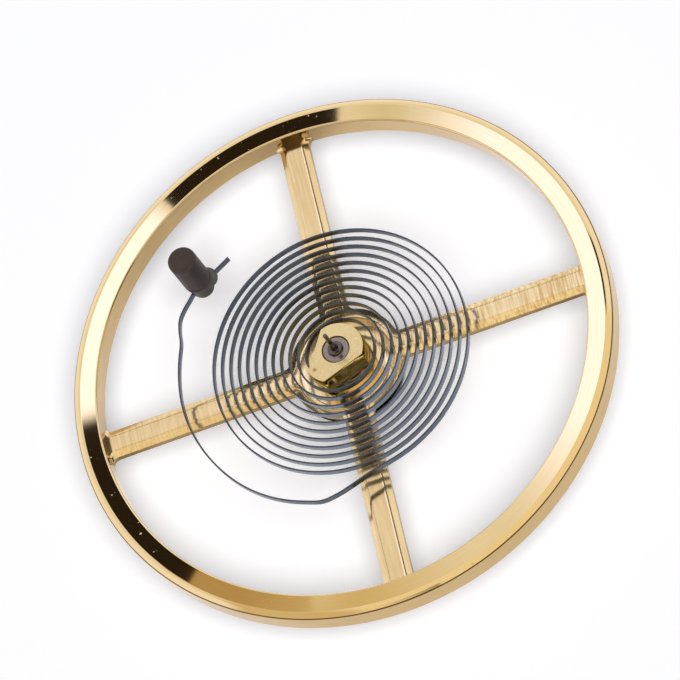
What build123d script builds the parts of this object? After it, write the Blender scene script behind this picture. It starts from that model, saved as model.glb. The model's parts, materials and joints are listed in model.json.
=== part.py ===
from build123d import *
from math import acos, asin, cos, degrees, hypot, radians, sin, sqrt
import os

# A watch balance: a smooth four armed wheel on its staff, with the hairspring, its collet
# and its stud above the wheel, and the two rollers with the impulse jewel below it.
# The origin is the tip of the lower pivot, +Z runs up the staff, and X and Y run along the arms.

# Wheel
wheel_radius = 5.0
rim_width = 0.45
rim_height = 0.48
rim_outer_bevel_width = 0.1
rim_outer_bevel_drop = 0.05
rim_edge_break = 0.03
arm_count = 4
arm_width = 0.54
arm_thickness = 0.15
arm_lift = 0.04
arm_bevel_width = 0.11
arm_bevel_depth = 0.05
window_corner_radius = 0.14
hub_radius = 1.05

# Staff, from the lower pivot up
pivot_radius = 0.04
pivot_length = 0.32
pivot_tip_break = 0.012
lower_cone_radius = 0.09
lower_cone_length = 0.14
roller_seat_radius = 0.2
flange_radius = 0.55
flange_thickness = 0.15
wheel_seat_radius = 0.42
rivet_radius = 0.49
rivet_height = 0.04
collet_seat_radius = 0.26
shoulder_bevel = 0.03
boss_foot_radius = 0.15
boss_radius = 0.13
boss_height = 0.07
upper_cone_radius = 0.075
upper_cone_length = 0.21

# Collet, with a nose that holds the spring's inner end
collet_radius = 0.51
collet_height = 0.5
collet_edge_break = 0.02
nose_reach = 0.64
nose_corner_radius = 0.06
nose_angle = 220.0
nose_flat_angle = 69.3
collet_flat_distance = 0.393
collet_hole_distance = 0.5
collet_hole_height = 0.33
pin_hole_radius = 0.07
pin_stand_out = 0.06

# Hairspring: half turns about two centres in turn, then the outer curve to the stud
spring_thickness = 0.03
spring_height = 0.13
spring_pitch = 0.1568
spring_inner_radius = 0.591
spring_start_angle = 175.0
spring_half_turns = 23
spring_last_turn = 71.0
spring_end_length = 0.02
spring_tail = 0.678
terminal_reach = 0.6718
stud_angle = 133.8
stud_slope = -14.4
stud_entry = 0.1
# Angle about the staff, share of the way from the coils to the stud's circle, outward slope
terminal_shares = (
    (267.0, 0.205, 21.3),
    (254.0, 0.597, 22.1),
    (243.0, 0.696, 4.3),
    (190.0, 0.821, 1.9),
    (158.0, 0.866, 2.3),
    (149.5, 1.068, 18.0),
    (142.0, 1.092, -6.8),
)

# Stud, and the bead of cement that holds the spring in it
stud_radius = 0.26
stud_foot_radius = 0.2
stud_foot = 0.11
stud_rise = 1.14
stud_edge_break = 0.03
stud_groove_depth = 0.04
stud_groove_rise = 0.32
bead_radius = 0.17
bead_stand_out = 0.08

# Rollers and impulse jewel
impulse_roller_thickness = 0.16
roller_rim_wall = 0.09
roller_edge_break = 0.02
neck_radius = 0.3
neck_length = 0.22
safety_roller_radius = 0.42
safety_roller_thickness = 0.22
passing_hollow_radius = 0.16
jewel_radius = 0.16
jewel_flat_distance = 0.08
jewel_reach = 0.36
jewel_stand_out = 0.03
jewel_angle = 0.0
shellac_width = 0.06
shellac_height = 0.02
shellac_gap = 0.03

overrun = 0.5

# Places that follow from the sizes above
rim_inner_radius = wheel_radius - rim_width
safety_roller_foot = pivot_length + lower_cone_length
neck_foot = safety_roller_foot + safety_roller_thickness
impulse_roller_foot = neck_foot + neck_length
flange_foot = impulse_roller_foot + impulse_roller_thickness
arm_foot = flange_foot + flange_thickness
arm_top = arm_foot + arm_thickness
wheel_foot = arm_foot - arm_lift
rim_top = wheel_foot + rim_height
collet_foot = arm_top + rivet_height
collet_top = collet_foot + collet_height
boss_top = collet_top + boss_height
cone_top = boss_top + upper_cone_length
staff_top = cone_top + pivot_length
spring_level = collet_foot + collet_hole_height
spring_outer_radius = spring_inner_radius + spring_half_turns * spring_pitch / 2
stud_circle_radius = spring_outer_radius + terminal_reach
shellac_radius = jewel_radius + shellac_width
jewel_circle_radius = flange_radius + shellac_gap + shellac_radius
impulse_roller_radius = jewel_circle_radius + jewel_radius + roller_rim_wall


def polar(radius, angle):
    """The point at this distance from the staff and this angle in degrees from +X."""
    return Vector(radius * cos(radians(angle)), radius * sin(radians(angle)))


def heading(angle, slope):
    """The way a clockwise curve runs where it climbs away from the staff at this slope."""
    return polar(1, angle - 90 + slope)


def export(piece, name):
    """Labels a finished piece and writes it."""
    piece.part.label = name
    export_step(piece.part, f"parts/{name}.step")


os.makedirs("parts", exist_ok=True)


# Balance wheel: rim, arms and hub in one piece, with bevelled arms
def window(width, inner_radius):
    """The outline of one window, between two arms of this width and a hub of this radius."""
    step = 360 / arm_count
    outer_start = degrees(asin(width / 2 / rim_inner_radius))
    inner_start = degrees(asin(width / 2 / inner_radius))
    with BuildLine() as sides:
        outer = CenterArc((0, 0), rim_inner_radius, outer_start, step - 2 * outer_start)
        inner = CenterArc((0, 0), inner_radius, inner_start, step - 2 * inner_start)
        Line(inner @ 0, outer @ 0)
        Line(inner @ 1, outer @ 1)
    outline = make_face(sides.edges())
    fillet(outline.vertices(), window_corner_radius)


with BuildPart() as balance_wheel:
    with BuildSketch(Plane.XZ):
        with BuildLine():
            Polyline(
                (wheel_seat_radius, arm_foot),
                (rim_inner_radius, arm_foot),
                (rim_inner_radius, wheel_foot + rim_edge_break),
                (rim_inner_radius + rim_edge_break, wheel_foot),
                (wheel_radius - rim_edge_break, wheel_foot),
                (wheel_radius, wheel_foot + rim_edge_break),
                (wheel_radius, rim_top - rim_outer_bevel_drop),
                (wheel_radius - rim_outer_bevel_width, rim_top),
                (rim_inner_radius + rim_edge_break, rim_top),
                (rim_inner_radius, rim_top - rim_edge_break),
                (rim_inner_radius, arm_top),
                (wheel_seat_radius, arm_top),
                close=True,
            )
        make_face()
    revolve(axis=Axis.Z)
    for quarter in range(arm_count):
        turned = Plane.XY.rotated((0, 0, quarter * 360 / arm_count))
        with BuildSketch(turned.offset(arm_foot)):
            window(arm_width, hub_radius)
        extrude(amount=arm_thickness, mode=Mode.SUBTRACT)
        with BuildSketch(turned.offset(arm_top - arm_bevel_depth)):
            window(arm_width, hub_radius)
        with BuildSketch(turned.offset(arm_top)):
            window(arm_width - 2 * arm_bevel_width, hub_radius - arm_bevel_width)
        loft(ruled=True, mode=Mode.SUBTRACT)
export(balance_wheel, "balance_wheel")


# Balance staff: one turning, with the wheel riveted on above its flange
with BuildPart() as balance_staff:
    with BuildSketch(Plane.XZ):
        with BuildLine():
            Polyline(
                (0, 0),
                (pivot_radius - pivot_tip_break, 0),
                (pivot_radius, pivot_tip_break),
                (pivot_radius, pivot_length),
                (lower_cone_radius, safety_roller_foot),
                (roller_seat_radius, safety_roller_foot),
                (roller_seat_radius, flange_foot),
                (flange_radius, flange_foot),
                (flange_radius, arm_foot),
                (wheel_seat_radius, arm_foot),
                (wheel_seat_radius, arm_top),
                (rivet_radius, arm_top),
                (wheel_seat_radius, collet_foot),
                (collet_seat_radius, collet_foot),
                (collet_seat_radius, collet_top - shoulder_bevel),
                (collet_seat_radius - shoulder_bevel, collet_top),
                (boss_foot_radius, collet_top),
                (boss_radius, boss_top),
                (upper_cone_radius, boss_top),
                (pivot_radius, cone_top),
                (pivot_radius, staff_top - pivot_tip_break),
                (pivot_radius - pivot_tip_break, staff_top),
                (0, staff_top),
                close=True,
            )
        make_face()
    revolve(axis=Axis.Z)
export(balance_staff, "balance_staff")


# Collet: a ring whose two flats run out to a nose, drilled across for the spring
hole_heading = heading(nose_angle, 0)
hole_middle = polar(collet_hole_distance, nose_angle)
hole_half_length = (
    collet_flat_distance - collet_hole_distance * cos(radians(nose_flat_angle))
) / sin(radians(nose_flat_angle))
body_corner = degrees(acos(collet_flat_distance / collet_radius))
nose_corner = degrees(acos(collet_flat_distance / nose_reach))
body_start = nose_angle + nose_flat_angle + body_corner
body_sweep = 360 - 2 * (nose_flat_angle + body_corner)
nose_start = nose_angle - nose_flat_angle + nose_corner
nose_sweep = 2 * (nose_flat_angle - nose_corner)
hole_plane = Plane(
    origin=hole_middle + Vector(0, 0, spring_level), x_dir=(0, 0, 1), z_dir=hole_heading
)

with BuildPart() as collet:
    with BuildSketch(Plane.XY.offset(collet_foot)):
        with BuildLine():
            body = CenterArc((0, 0), collet_radius, body_start, body_sweep)
            nose = CenterArc((0, 0), nose_reach, nose_start, nose_sweep)
            Line(body @ 1, nose @ 0)
            Line(nose @ 1, body @ 0)
        outline = make_face()
        nose_ends = outline.vertices().filter_by(
            lambda v: hypot(v.X, v.Y) > (collet_radius + nose_reach) / 2
        )
        fillet(nose_ends, nose_corner_radius)
    extrude(amount=collet_height)
    chamfer(collet.faces().sort_by(Axis.Z)[-1].edges(), collet_edge_break)
    with BuildSketch(Plane.XY.offset(collet_foot)):
        Circle(collet_seat_radius)
    extrude(amount=collet_height, mode=Mode.SUBTRACT)
    with BuildSketch(hole_plane):
        Circle(pin_hole_radius)
    extrude(amount=collet_radius, both=True, mode=Mode.SUBTRACT)
export(collet, "collet")


# Collet pin: fills the hole on the staff's side of the spring and stands out at one end
with BuildPart() as collet_pin:
    with BuildSketch(hole_plane.offset(-hole_half_length - pin_stand_out)):
        Circle(pin_hole_radius)
        with Locations((0, spring_thickness / 2)):
            Rectangle(
                2 * pin_hole_radius,
                2 * pin_hole_radius,
                align=(Align.CENTER, Align.MAX),
                mode=Mode.SUBTRACT,
            )
    extrude(amount=2 * hole_half_length)
export(collet_pin, "collet_pin")


# Hairspring: a flat strip from the collet's nose, out in half turns, and round to the stud
stud_middle = polar(stud_circle_radius, stud_angle)
stud_heading = heading(stud_angle, stud_slope)


def biarc(start, start_heading, end, end_heading):
    """Two arcs from start to end that run smoothly into each other and into both headings."""
    chord = end - start
    both = start_heading + end_heading
    turn = 2 * (1 - start_heading.dot(end_heading))
    ahead = chord.dot(both)
    reach = (sqrt(ahead**2 + turn * chord.dot(chord)) - ahead) / turn
    middle = (start + end + (start_heading - end_heading) * reach) * 0.5
    first = TangentArc(start, middle, tangent=start_heading)
    second = TangentArc(middle, end, tangent=first % 1)
    return second


with BuildLine() as spring_line:
    inner_end = Line(
        hole_middle - hole_heading * hole_half_length,
        hole_middle + hole_heading * (hole_half_length + spring_end_length),
    )
    coil_start = polar(spring_inner_radius, spring_start_angle)
    coil_heading = heading(spring_start_angle, 0)
    biarc(inner_end @ 1, hole_heading, coil_start, coil_heading)
    coil_radius = spring_inner_radius + spring_pitch / 4
    coil = JernArc(coil_start, coil_heading, coil_radius, -180)
    for half_turn in range(1, spring_half_turns):
        coil = JernArc(coil @ 1, coil % 1, coil_radius + half_turn * spring_pitch / 2, -180)
    coil_radius += spring_half_turns * spring_pitch / 2
    arc = JernArc(coil @ 1, coil % 1, coil_radius, -spring_last_turn)
    for angle, share, slope in terminal_shares:
        radius = spring_outer_radius + share * terminal_reach
        arc = biarc(arc @ 1, arc % 1, polar(radius, angle), heading(angle, slope))
    entry = stud_middle - stud_heading * stud_entry
    biarc(arc @ 1, arc % 1, entry, stud_heading)
    Line(entry, stud_middle + stud_heading * spring_tail)

with BuildPart() as hairspring:
    route = spring_line.wire().moved(Location((0, 0, spring_level)))
    with BuildSketch(Plane(origin=route @ 0, x_dir=polar(1, nose_angle), z_dir=route % 0)):
        Rectangle(spring_thickness, spring_height)
    sweep(path=route)
export(hairspring, "hairspring")


# Hairspring stud: a cylinder with a tapered foot, drilled across for the spring's outer
# end, and a fine groove that ends the length its holder grips
stud_hole_plane = Plane(
    origin=stud_middle + Vector(0, 0, spring_level), x_dir=(0, 0, 1), z_dir=stud_heading
)
stud_side_plane = Plane(origin=stud_hole_plane.origin, x_dir=(1, 0, 0), z_dir=(0, -1, 0))


def stud_profile():
    """Half of the stud's outline, seen from the side."""
    with BuildLine() as half:
        Polyline(
            (0, -stud_foot),
            (stud_foot_radius - stud_edge_break, -stud_foot),
            (stud_foot_radius, stud_edge_break - stud_foot),
            (stud_radius, stud_groove_rise - stud_groove_depth),
            (stud_radius - stud_groove_depth, stud_groove_rise),
            (stud_radius, stud_groove_rise + stud_groove_depth),
            (stud_radius, stud_rise - stud_edge_break),
            (stud_radius - stud_edge_break, stud_rise),
            (0, stud_rise),
            close=True,
        )
    make_face(half.edges())


with BuildPart() as hairspring_stud:
    with BuildSketch(stud_side_plane):
        stud_profile()
    revolve(axis=Axis(stud_middle, (0, 0, 1)))
    with BuildSketch(stud_hole_plane):
        Circle(pin_hole_radius)
    extrude(amount=2 * stud_radius, both=True, mode=Mode.SUBTRACT)
export(hairspring_stud, "hairspring_stud")


# Stud cement: a bead on the stud where the spring comes out, with the spring through it
bead_middle = stud_middle + stud_heading * (stud_radius + bead_stand_out - bead_radius)

with BuildPart() as stud_cement:
    with Locations(bead_middle + Vector(0, 0, spring_level + bead_radius - stud_foot)):
        Sphere(bead_radius)
    with BuildSketch(stud_side_plane):
        stud_profile()
    revolve(axis=Axis(stud_middle, (0, 0, 1)), mode=Mode.SUBTRACT)
    with BuildSketch(stud_hole_plane):
        Rectangle(spring_height, spring_thickness)
    extrude(amount=overrun, mode=Mode.SUBTRACT)
export(stud_cement, "stud_cement")


# Impulse jewel: a round pin with one side ground flat, the flat facing away from the staff
jewel_turn = (0, 0, jewel_angle)
jewel_plane = Plane.XY.rotated(jewel_turn)
jewel_top = flange_foot + jewel_stand_out
jewel_foot = impulse_roller_foot - jewel_reach


def jewel_section():
    """The jewel's outline, which its hole in the roller shares."""
    with Locations((jewel_circle_radius, 0)):
        Circle(jewel_radius)
    with Locations((jewel_circle_radius + jewel_flat_distance, 0)):
        Rectangle(
            jewel_radius,
            2 * jewel_radius,
            align=(Align.MIN, Align.CENTER),
            mode=Mode.SUBTRACT,
        )


with BuildPart() as impulse_jewel:
    with BuildSketch(jewel_plane.offset(jewel_foot)):
        jewel_section()
    extrude(amount=jewel_top - jewel_foot)
export(impulse_jewel, "impulse_jewel")


# Impulse roller: a disc on the staff against the flange, with the jewel near its edge
with BuildPart() as impulse_roller:
    with BuildSketch(Plane.XY.offset(impulse_roller_foot)):
        Circle(impulse_roller_radius)
    extrude(amount=impulse_roller_thickness)
    chamfer(impulse_roller.edges().filter_by(GeomType.CIRCLE), roller_edge_break)
    with BuildSketch(Plane.XY.offset(impulse_roller_foot)):
        Circle(roller_seat_radius)
    extrude(amount=impulse_roller_thickness, mode=Mode.SUBTRACT)
    with BuildSketch(jewel_plane.offset(impulse_roller_foot)):
        jewel_section()
    extrude(amount=impulse_roller_thickness, mode=Mode.SUBTRACT)
export(impulse_roller, "impulse_roller")


# Jewel shellac: a low collar of shellac round the jewel on top of the roller
with BuildPart() as jewel_shellac:
    with BuildSketch(jewel_plane.offset(flange_foot)):
        with Locations((jewel_circle_radius, 0)):
            Circle(shellac_radius)
    extrude(amount=shellac_height)
    with BuildSketch(jewel_plane.offset(flange_foot)):
        jewel_section()
    extrude(amount=shellac_height, mode=Mode.SUBTRACT)
export(jewel_shellac, "jewel_shellac")


# Safety roller: a small disc with a passing hollow under the jewel, and a neck above it
with BuildPart() as safety_roller:
    with BuildSketch(Plane.XY.offset(safety_roller_foot)):
        Circle(safety_roller_radius)
        with Locations(polar(safety_roller_radius, jewel_angle)):
            Circle(passing_hollow_radius, mode=Mode.SUBTRACT)
    extrude(amount=safety_roller_thickness)
    with BuildSketch(Plane.XY.offset(neck_foot)):
        Circle(neck_radius)
    extrude(amount=neck_length)
    with BuildSketch(Plane.XY.offset(safety_roller_foot)):
        Circle(roller_seat_radius)
    extrude(amount=safety_roller_thickness + neck_length, mode=Mode.SUBTRACT)
export(safety_roller, "safety_roller")


# The spring's length, volume and least gap between its turns
route_length = route.length
sample_count = 1200
samples = [route.position_at(i / sample_count) for i in range(sample_count + 1)]
sample_step = route_length / sample_count
apart = int(spring_inner_radius / sample_step) + 1
least = min(
    hypot(samples[i].X - samples[j].X, samples[i].Y - samples[j].Y)
    for i in range(sample_count + 1)
    for j in range(i + apart, sample_count + 1)
)
print(f"hairspring: length {route_length:.2f} mm")
print(f"hairspring: volume {hairspring.part.volume:.5f} mm3")
print(f"hairspring: section times length {route_length * spring_thickness * spring_height:.5f} mm3")
print(f"hairspring: least gap {least - spring_thickness:.3f} mm")
print(f"staff: length {staff_top:.3f} mm, rim top at {rim_top:.3f} mm")
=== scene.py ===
"""Looks of a watch balance: wheel, staff, hairspring with collet and stud, and rollers.

Sizes are in millimetres in the classes and in metres in Blender. The frame is the
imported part's: the origin is the tip of the lower pivot, +Z runs up the staff, and X
and Y run along the arms.
"""

import json
import logging
from collections.abc import Callable, Iterable, Iterator, Mapping, Sequence
from dataclasses import dataclass
from enum import Enum
from math import acos, asin, atan2, ceil, cos, degrees, radians, sin, sqrt, tan

import bmesh
import bpy
from bpy.types import ID, Material, MeshPolygon, Node, NodeSocket, NodeTree, Object
from mathutils import Matrix, Vector, noise
from mathutils.geometry import tessellate_polygon
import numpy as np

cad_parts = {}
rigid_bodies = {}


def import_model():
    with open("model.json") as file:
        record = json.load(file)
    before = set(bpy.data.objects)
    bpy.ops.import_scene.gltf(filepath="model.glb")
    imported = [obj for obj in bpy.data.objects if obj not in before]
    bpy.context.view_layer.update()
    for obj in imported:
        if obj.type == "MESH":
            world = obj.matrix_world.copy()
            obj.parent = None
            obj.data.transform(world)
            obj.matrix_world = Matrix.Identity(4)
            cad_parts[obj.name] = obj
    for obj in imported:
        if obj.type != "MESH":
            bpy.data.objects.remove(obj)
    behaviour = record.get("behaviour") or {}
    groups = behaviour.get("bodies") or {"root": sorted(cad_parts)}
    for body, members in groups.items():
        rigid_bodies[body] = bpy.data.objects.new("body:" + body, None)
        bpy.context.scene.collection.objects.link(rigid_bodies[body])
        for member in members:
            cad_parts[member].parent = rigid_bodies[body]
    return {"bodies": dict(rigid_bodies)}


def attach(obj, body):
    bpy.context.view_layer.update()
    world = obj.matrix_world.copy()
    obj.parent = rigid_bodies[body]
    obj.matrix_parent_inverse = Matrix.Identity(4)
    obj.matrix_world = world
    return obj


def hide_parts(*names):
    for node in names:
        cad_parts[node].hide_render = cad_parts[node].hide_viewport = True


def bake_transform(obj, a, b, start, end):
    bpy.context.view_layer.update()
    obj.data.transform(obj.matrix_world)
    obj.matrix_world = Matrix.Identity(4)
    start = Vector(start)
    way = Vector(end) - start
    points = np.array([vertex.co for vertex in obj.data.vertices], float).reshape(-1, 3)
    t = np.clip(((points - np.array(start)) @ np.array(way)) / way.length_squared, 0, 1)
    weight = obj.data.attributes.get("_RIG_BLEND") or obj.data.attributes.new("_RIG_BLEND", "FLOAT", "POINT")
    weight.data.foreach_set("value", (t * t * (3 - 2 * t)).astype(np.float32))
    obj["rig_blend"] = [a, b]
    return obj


log = logging.getLogger("balance")

MM = 0.001
# How far the points that keep a long stretch flat are from its ends, and what is long
BRACE, LONG = 0.004, 0.02
# The share of a line's stretch that the rounding of one corner may take
MOST_EASED = 0.49
# How much more large faces count in the shading, where 50 is no more than small ones
FLAT_WEIGHT = 60
# A wall's normal rises less than this
UPRIGHT = 0.6
# The steps that round shapes are made in
DRILL_STEPS, BORE_STEPS, TURN_STEPS, DISC_STEPS = 40, 64, 96, 144
ARM_STEPS, FILLET_STEPS, EASE_STEPS, COVE_STEPS = 24, 10, 6, 8
COLLET_STEPS, NOSE_STEPS, NOSE_CORNER_STEPS, PIN_STEPS = 72, 20, 3, 24
BEAD_STEPS, JEWEL_STEPS, HOLLOW_STEPS = 24, 40, 20

Point = tuple[float, float]
Triple = tuple[float, float, float]
Outline = Sequence[Point]
Shape = Callable[[float], Outline]


# Outlines and sections


def polar(radius: float, angle: float) -> Vector:
    """The point at this distance from the middle and this angle in degrees from +X."""
    turn = radians(angle)
    return Vector((radius * cos(turn), radius * sin(turn)))


def turned(way: Vector, angle: float) -> Vector:
    """A flat direction turned to the left by an angle in degrees."""
    c, s = cos(radians(angle)), sin(radians(angle))
    return Vector((way.x * c - way.y * s, way.x * s + way.y * c))


def arc(
    radius: float, start: float, sweep: float, count: int, middle: Point = (0.0, 0.0)
) -> list[Point]:
    """The points of an arc, both ends included.

    Args:
        radius: The arc's radius.
        start: The angle that it starts at, in degrees.
        sweep: How far it goes, in degrees, to the left where this is above 0.
        count: The number of its steps.
        middle: Its middle.

    Returns:
        The points, one more than the steps.
    """
    places = (polar(radius, start + sweep * step / count) for step in range(count + 1))
    return [(middle[0] + place.x, middle[1] + place.y) for place in places]


def circle(radius: float, count: int, middle: Point = (0.0, 0.0)) -> list[Point]:
    """The points of a circle about a middle."""
    return arc(radius, 0, 360, count, middle)[:-1]


def chamfered(foot: float, top: float, chamfer: float) -> list[Point]:
    """The inset and height of each level of a wall with a chamfer at both ends."""
    inner = [(0, foot + chamfer), (0, top - chamfer)]
    return [(chamfer, foot), *inner, (chamfer, top)]


def eased(
    corners: Sequence[Triple], closed: bool = False, steps: int = 4
) -> list[Point]:
    """Rounds the corners of a line.

    Args:
        corners: The corners, each with the radius it is rounded to.
        closed: Whether the last corner runs on to the first.
        steps: The number of straight stretches in each rounding.

    Returns:
        The points of the rounded line.
    """
    line: list[Point] = []
    count = len(corners)
    for place, (x, y, radius) in enumerate(corners):
        corner = Vector((x, y))
        if radius <= 0 or (not closed and place in (0, count - 1)):
            line.append((x, y))
            continue
        back = Vector(corners[place - 1][:2]) - corner
        ahead = Vector(corners[(place + 1) % count][:2]) - corner
        half = back.angle(ahead) / 2
        most = MOST_EASED * min(back.length, ahead.length)
        reach = min(radius / tan(half), most)
        back.normalize()
        ahead.normalize()
        middle = corner + (back + ahead).normalized() * (reach / cos(half))
        first, last = corner + back * reach - middle, corner + ahead * reach - middle
        for step in range(steps + 1):
            way = first.slerp(last, step / steps).normalized()
            line.append(tuple(middle + way * first.length))
    return line


def braced(line: Outline, closed: bool = False) -> list[Point]:
    """A line with a point added near each end of its long stretches.

    The shading of what is made from it is flat between the added points.
    """
    full: list[Point] = []
    ends = list(zip(line, line[1:])) + ([(line[-1], line[0])] if closed else [])
    for start, end in ends:
        a, b = Vector(start), Vector(end)
        full.append(start)
        if (b - a).length > LONG:
            step = (b - a).normalized() * BRACE
            full += [tuple(a + step), tuple(b - step)]
    return full if closed else full + [line[-1]]


def placed(name: str, data: ID) -> Object:
    """A new object in the scene."""
    made = bpy.data.objects.new(name, data)
    bpy.context.scene.collection.objects.link(made)
    return made


class Former:
    """Collects the points and faces of one piece and makes its object."""

    def __init__(self, placement: Matrix | None = None) -> None:
        """Starts an empty piece, placed by a matrix in millimetres."""
        self.placement = placement or Matrix.Identity(4)
        self.points: list[Vector] = []
        self.faces: list[tuple[int, ...]] = []

    def ring(self, points: Iterable[Sequence[float]]) -> list[int]:
        """Adds points, and gives their numbers."""
        start = len(self.points)
        self.points += [Vector(point) for point in points]
        return list(range(start, len(self.points)))

    def join(self, rings: Sequence[Sequence[int]], closed: bool = False) -> None:
        """Joins each ring to the next with a band of faces, and the last if closed."""
        for lower, upper in zip(rings, [*rings[1:], *rings[: int(closed)]]):
            count = len(lower)
            for place in range(count):
                near, far = place, (place + 1) % count
                self.faces.append((lower[near], lower[far], upper[far], upper[near]))

    def walls(self, outline: Shape, levels: Sequence[Point]) -> list[list[int]]:
        """Joins an outline at several heights, drawn in by an inset at each.

        Args:
            outline: Gives the outline for an inset.
            levels: Each level's inset and height.

        Returns:
            The ring of each level.
        """
        rings = []
        for inset, height in levels:
            rings.append(self.ring((x, y, height) for x, y in outline(inset)))
        self.join(rings)
        return rings

    def cap(self, *rings: Sequence[int]) -> None:
        """Fills the flat face inside the first ring and outside the others."""
        order = [number for ring in rings for number in ring]
        flat = [[self.points[number] for number in ring] for ring in rings]
        for corners in tessellate_polygon(flat):
            self.faces.append(tuple(order[corner] for corner in corners))

    def close(self, *sides: Sequence[Sequence[int]]) -> "Former":
        """Caps an outer side at both ends, outside the others; gives this former."""
        for end in (0, -1):
            self.cap(*(side[end] for side in sides))
        return self

    def plate(
        self, outline: Shape, levels: Sequence[Point], *holes: Outline
    ) -> "Former":
        """Makes a plate with upright holes, and gives this former.

        Args:
            outline: Gives the plate's outline for an inset.
            levels: The inset and height of each level of its side.
            holes: The holes' outlines.
        """
        sides = [self.walls(outline, levels)]
        ends = [(0, levels[0][1]), (0, levels[-1][1])]
        for hole in holes:
            sides.append(self.walls(lambda inset: hole, ends))
        return self.close(*sides)

    def turning(
        self,
        section: Outline,
        count: int,
        middle: Point = (0.0, 0.0),
        closed: bool = False,
    ) -> "Former":
        """Turns a half section about an upright axis, and gives this former.

        Args:
            section: Radius and height of each point, from one end to the other.
            count: The number of steps round the axis.
            middle: Where the axis stands.
            closed: Whether the section closes on itself, as a ring's does.
        """
        rings: list[list[int]] = []
        for radius, height in braced(section, closed):
            outline = circle(radius, count, middle) if radius > 0 else [middle]
            ring = self.ring((x, y, height) for x, y in outline)
            rings.append(ring * (count // len(ring)))
        self.join(rings, closed)
        return self

    def piece(self, name: str) -> Object:
        """Makes the object of this name, with its faces turned outwards."""
        form = bmesh.new()
        corners = [form.verts.new(self.placement @ point * MM) for point in self.points]
        for face in self.faces:
            kept = list(dict.fromkeys(face))
            if len(kept) > 2:
                form.faces.new([corners[number] for number in kept])
        loose = [corner for corner in form.verts if not corner.link_faces]
        bmesh.ops.delete(form, geom=loose, context="VERTS")
        bmesh.ops.recalc_face_normals(form, faces=form.faces)
        mesh = bpy.data.meshes.new(name)
        form.to_mesh(mesh)
        form.free()
        return placed(name, mesh)


def drill(
    piece: Object, middle: Vector, way: Vector, radius: float, reach: float
) -> None:
    """Drills a hole through a piece.

    Args:
        piece: The piece to drill.
        middle: A point on the hole's axis.
        way: The axis, as a direction.
        radius: The hole's radius.
        reach: How far the drill goes to each side of the middle.
    """
    turn = way.to_track_quat("Z", "Y").to_matrix().to_4x4()
    rod = [(0, -reach), (radius, -reach), (radius, reach), (0, reach)]
    former = Former(Matrix.Translation(middle) @ turn)
    bit = former.turning(rod, DRILL_STEPS).piece("drill")
    cut = piece.modifiers.new("hole", "BOOLEAN")
    cut.object = bit
    cut.solver = "EXACT"
    seen = piece.evaluated_get(bpy.context.evaluated_depsgraph_get())
    drilled = bpy.data.meshes.new_from_object(seen)
    piece.modifiers.clear()
    piece.data = drilled
    bpy.data.objects.remove(bit)


def crease(piece: Object, angle: float) -> None:
    """Shades a piece smoothly between edges that are sharper than an angle."""
    form = bmesh.new()
    form.from_mesh(piece.data)
    for face in form.faces:
        face.smooth = True
    for edge in form.edges:
        if len(edge.link_faces) == 2:
            edge.smooth = edge.calc_face_angle() < radians(angle)
    form.to_mesh(piece.data)
    form.free()
    even = piece.modifiers.new("even shading", "WEIGHTED_NORMAL")
    even.keep_sharp = True
    even.weight = FLAT_WEIGHT


# Shader maths


class Value:
    """A socket that Python's operators work on, each adding a Math node."""

    def __init__(self, graph: "Graph", socket: NodeSocket) -> None:
        """Wraps an output socket of a graph."""
        self.graph = graph
        self.socket = socket

    def __add__(self, other: "Value | float") -> "Value":
        """This plus the other."""
        return self.graph.maths("ADD", self, other)

    def __sub__(self, other: "Value | float") -> "Value":
        """This less the other."""
        return self.graph.maths("SUBTRACT", self, other)

    def __rsub__(self, other: float) -> "Value":
        """The other less this."""
        return self.graph.maths("SUBTRACT", other, self)

    def __mul__(self, other: "Value | float") -> "Value":
        """This times the other."""
        return self.graph.maths("MULTIPLY", self, other)

    __radd__ = __add__
    __rmul__ = __mul__

    def least(self, other: "Value | float") -> "Value":
        """The smaller of this and the other."""
        return self.graph.maths("MINIMUM", self, other)

    def most(self, other: "Value | float") -> "Value":
        """The larger of this and the other."""
        return self.graph.maths("MAXIMUM", self, other)

    def limited(self) -> "Value":
        """This, kept from 0 to 1."""
        return self.most(0.0).least(1.0)

    def rise(self, start: float, end: float) -> "Value":
        """How far this has risen from start to end, eased, from 0 to 1."""
        return self.graph.result(
            "ShaderNodeMapRange",
            {"Value": self, "From Min": start, "From Max": end},
            interpolation_type="SMOOTHSTEP",
        )


Inputs = Mapping[str | int, Value | float | Sequence[float]]

NOISE_ROUGHNESS = 0.55
# The numbers of a Mix node's sockets for colours
MIX_START, MIX_END, MIX_RESULT = 6, 7, 2


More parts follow.
